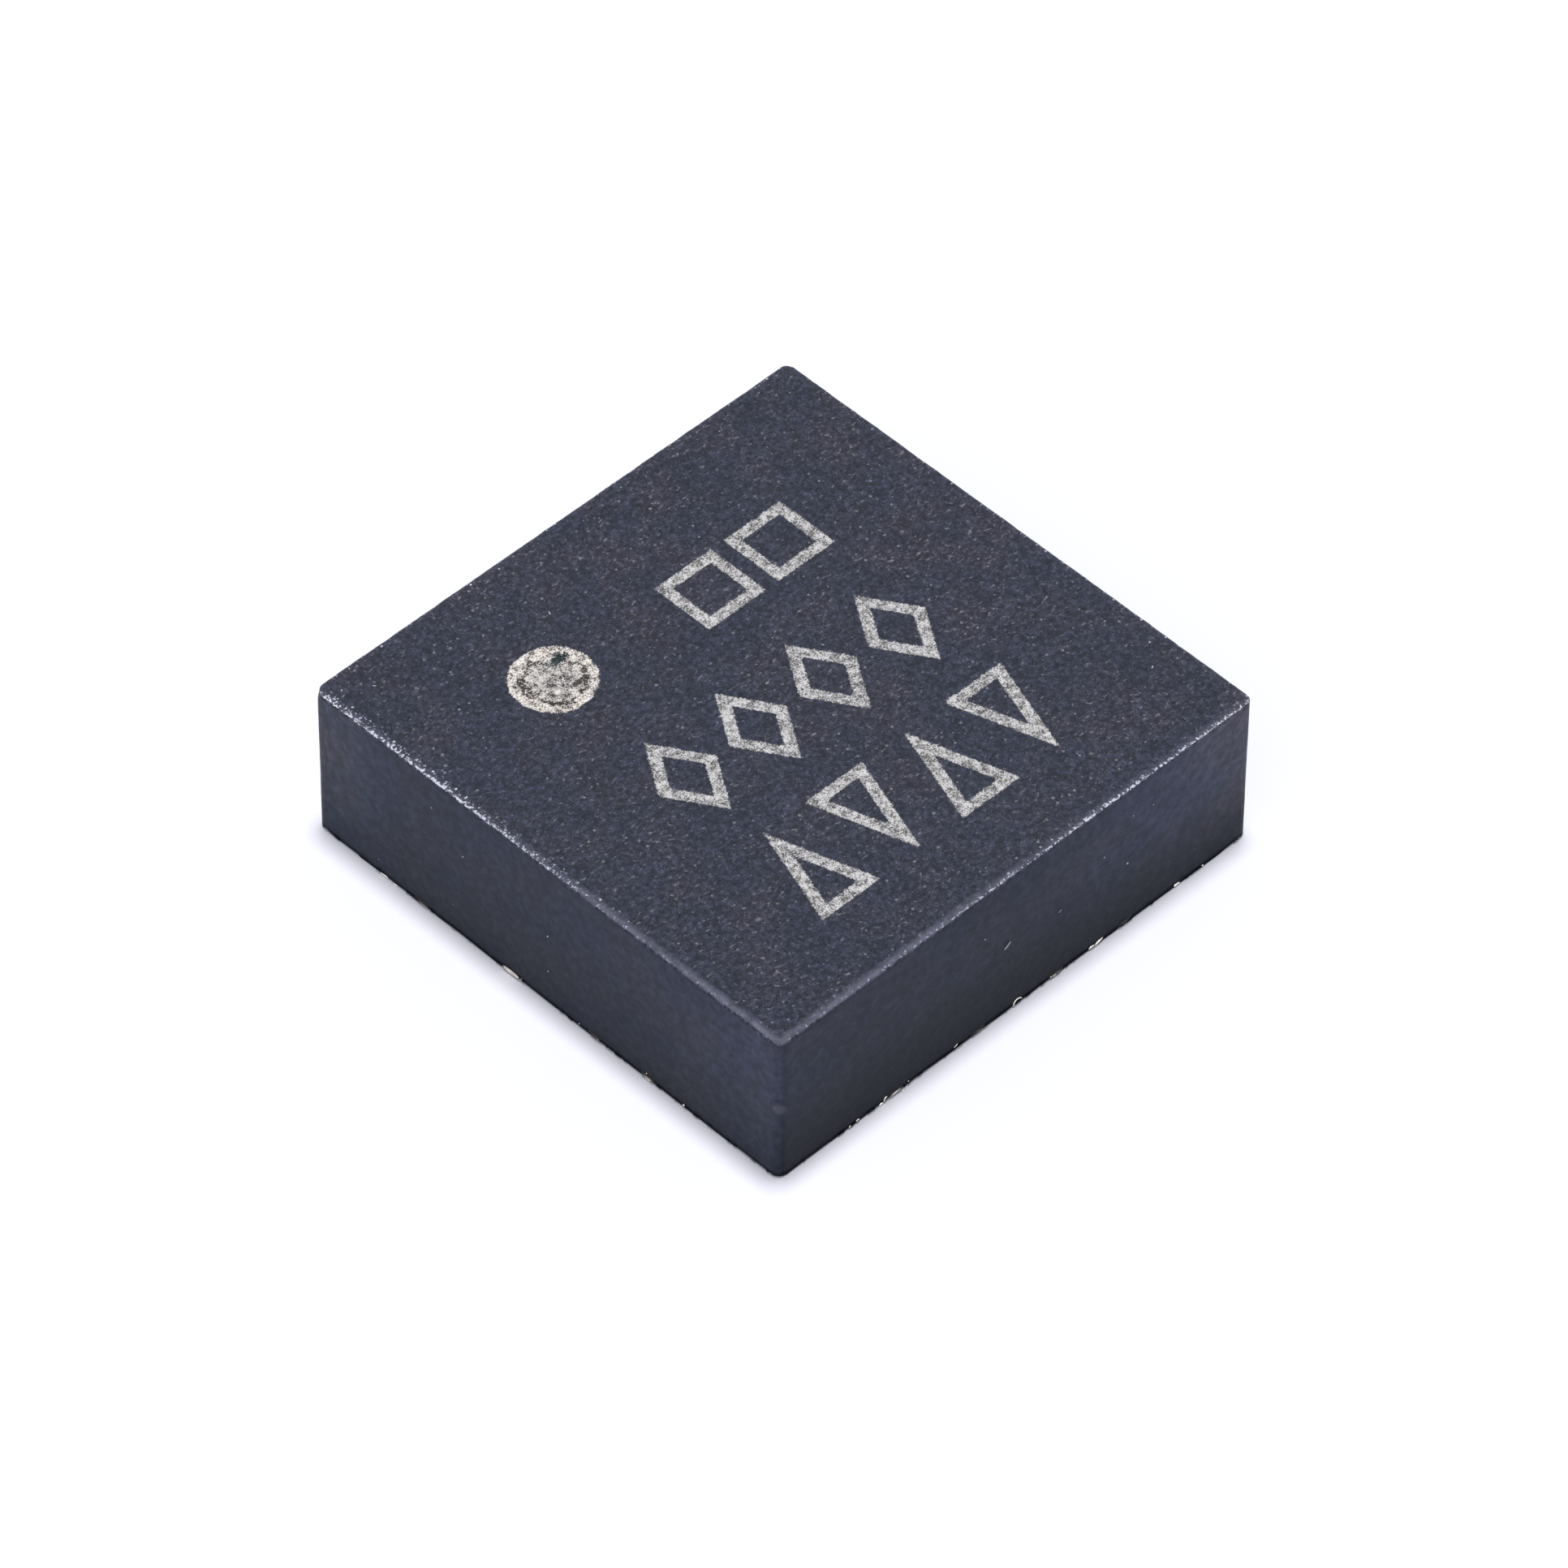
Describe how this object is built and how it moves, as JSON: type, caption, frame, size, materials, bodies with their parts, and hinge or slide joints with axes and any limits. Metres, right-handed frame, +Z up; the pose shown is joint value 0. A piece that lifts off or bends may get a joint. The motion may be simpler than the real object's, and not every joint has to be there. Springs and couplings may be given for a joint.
{
  "type": "magnetometer chip",
  "caption": "Small square surface-mount magnetic sensor chip: black moulded block on a laminate with gold lands, marked top and a round pin-one mark.",
  "frame": {"origin": "centre of the underside, in the plane of the land faces", "axes": "+Z up, out of the marked top; +X along the reading direction of the marks, so land 1 and the pin-one mark are towards -X and +Y"},
  "size_m": [0.003, 0.003, 0.0009],
  "materials": {
    "mould": "slate-black filled epoxy, fine grain, laser-marked top",
    "laminate": "sawn dark laminate",
    "solder_mask": "thin black satin coating",
    "gold_plate": "gold plate over copper, satin, bright where sawn",
    "copper": "plated copper",
    "silicon": "polished grey silicon",
    "die_attach": "cured adhesive",
    "gold_wire": "drawn gold wire",
    "solder": "bright solder"
  },
  "bodies": {
    "root": {"mould_body": "mould", "core_laminate": "laminate", "bottom_mask": "solder_mask", "top_mask": "solder_mask", "land_01": "gold_plate", "land_02": "gold_plate", "land_03": "gold_plate", "land_04": "gold_plate", "land_05": "gold_plate", "land_06": "gold_plate", "land_07": "gold_plate", "land_08": "gold_plate", "land_09": "gold_plate", "land_10": "gold_plate", "land_11": "gold_plate", "land_12": "gold_plate", "land_13": "gold_plate", "land_14": "gold_plate", "land_15": "gold_plate", "land_16": "gold_plate", "trace_01": "copper", "trace_02": "copper", "trace_04": "copper", "trace_08": "copper", "trace_09": "copper", "trace_10": "copper", "trace_11": "copper", "trace_12": "copper", "trace_13": "copper", "trace_15": "copper", "trace_16": "copper", "asic_die": "silicon", "xy_sensor_die": "silicon", "z_sensor_die": "silicon", "asic_film": "die_attach", "xy_film": "die_attach", "z_film": "die_attach", "wire_01": "gold_wire", "wire_02": "gold_wire", "wire_04": "gold_wire", "wire_08": "gold_wire", "wire_09": "gold_wire", "wire_10": "gold_wire", "wire_11": "gold_wire", "wire_12": "gold_wire", "wire_13": "gold_wire", "wire_15": "gold_wire", "wire_16": "gold_wire", "xy_wire_1": "gold_wire", "xy_wire_2": "gold_wire", "xy_wire_3": "gold_wire", "xy_wire_4": "gold_wire", "xy_wire_5": "gold_wire", "xy_wire_6": "gold_wire", "z_wire_1": "gold_wire", "z_wire_2": "gold_wire", "z_wire_3": "gold_wire", "z_wire_4": "gold_wire", "z_links": "copper", "z_solder": "solder"}
  },
  "joints": []
}
